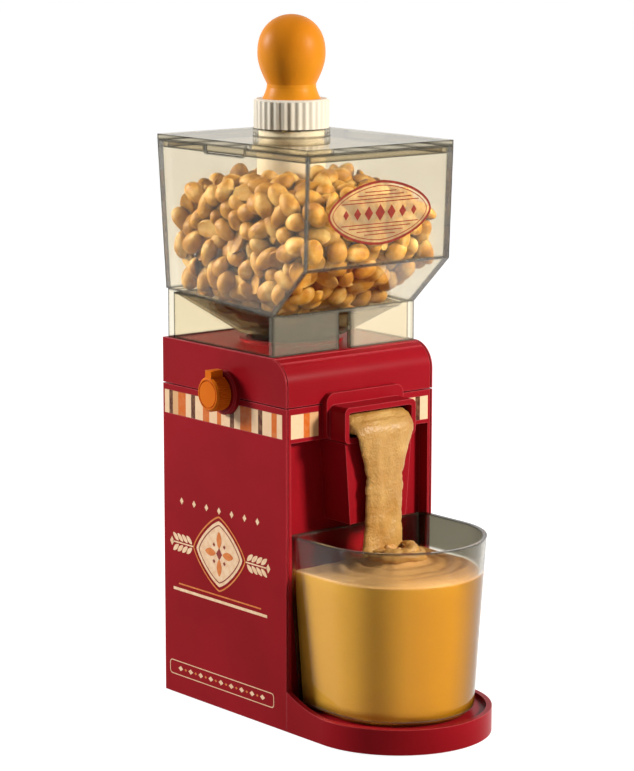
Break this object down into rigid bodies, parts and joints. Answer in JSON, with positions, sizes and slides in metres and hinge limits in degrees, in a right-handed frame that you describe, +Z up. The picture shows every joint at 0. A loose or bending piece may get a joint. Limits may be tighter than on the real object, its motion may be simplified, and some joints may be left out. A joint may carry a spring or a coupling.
{
  "type": "nut butter grinder",
  "caption": "Table-top nut butter grinder: clear hopper with plunger over a geared upright mill, front spout, clear cup on a tray and a side control knob.",
  "frame": {"origin": "middle of the bounding box's underside, on the table under the feet", "axes": "+Z up from the table; -Y the front with the spout, cup and tray; -X the side with the control knob, so +X is the right side seen from the front"},
  "size_m": [0.1124, 0.1906, 0.3697],
  "materials": {
    "red_shell": "moulded, glossy",
    "stripe_print": "printed film in stripes",
    "foot_rubber": "matte",
    "black_plastic": "fine grained",
    "orange_knob": "moulded, glossy",
    "amber_handle": "moulded, glossy",
    "cream_plastic": "moulded, satin",
    "clear_plastic": "clear, slightly smoky",
    "clear_cup": "clear",
    "cast_aluminium": "cast, as tumbled",
    "steel": "turned",
    "burr_iron": "ground",
    "bush_bronze": "turned",
    "white_nylon": "moulded",
    "motor_steel": "drawn and zinc plated",
    "dark_metal": "dull"
  },
  "bodies": {
    "housing": {"left_side_panel": "red_shell", "right_side_panel": "red_shell", "front_panel": "red_shell", "rear_panel": "red_shell", "upper_cover": "red_shell", "stripe_bands": "stripe_print", "base_tray": "red_shell", "feet": "foot_rubber", "panel_screws": "steel", "cord_gland": "black_plastic", "spout_hood": "red_shell", "splash_guard": "red_shell", "switch_bezel": "red_shell", "rotary_switch": "black_plastic", "mill_chamber": "cast_aluminium", "fixed_burr": "burr_iron", "spindle_bush": "bush_bronze", "gear_housing": "cast_aluminium", "gear_plate": "cast_aluminium", "chassis_screws": "steel", "motor_can": "motor_steel", "motor_end_cap": "dark_metal", "field_magnet": "dark_metal"},
    "knob": {"control_knob": "orange_knob", "switch_stem": "steel"},
    "spindle": {"spindle": "steel", "output_gear": "white_nylon", "moving_burr": "burr_iron", "auger": "steel", "auger_nut": "steel"},
    "rotor": {"motor_shaft": "steel", "armature": "motor_steel", "pinion": "bush_bronze", "cooling_fan": "black_plastic"},
    "hopper": {"hopper_bin": "clear_plastic", "hopper_funnel": "clear_plastic"},
    "lid": {"hopper_lid": "clear_plastic"},
    "pusher": {"pusher_tube": "cream_plastic", "pusher_cap": "cream_plastic", "pusher_handle": "amber_handle", "pusher_screw": "steel"},
    "cup": {"cup": "clear_cup"}
  },
  "joints": [
    {"name": "knob_turn", "type": "hinge", "parent": "housing", "child": "knob", "pos_m": [-0.04875, 0.0347, 0.1748], "axis": [-1, 0, 0], "range_deg": [0, 90]},
    {"name": "spindle_spin", "type": "hinge", "parent": "housing", "child": "spindle", "pos_m": [0.00625, 0.0422, 0.15], "axis": [0, 0, 1], "continuous": true},
    {"name": "rotor_spin", "type": "hinge", "parent": "housing", "child": "rotor", "pos_m": [0.00625, 0.0653, 0.075], "axis": [0, 0, 1], "continuous": true},
    {"name": "hopper_lift", "type": "slide", "parent": "housing", "child": "hopper", "axis": [0, 0, 1], "range_m": [0, 0.08]},
    {"name": "lid_lift", "type": "slide", "parent": "hopper", "child": "lid", "axis": [0, 0, 1], "range_m": [0, 0.06]},
    {"name": "pusher_lift", "type": "slide", "parent": "lid", "child": "pusher", "axis": [0, 0, 1], "range_m": [0, 0.035]},
    {"name": "cup_draw", "type": "slide", "parent": "housing", "child": "cup", "axis": [0, -0.9703, 0.2419], "range_m": [0, 0.1]}
  ],
  "couplings": [
    {"joint": "rotor_spin", "follows": "spindle_spin", "ratio": -2.8333}
  ]
}
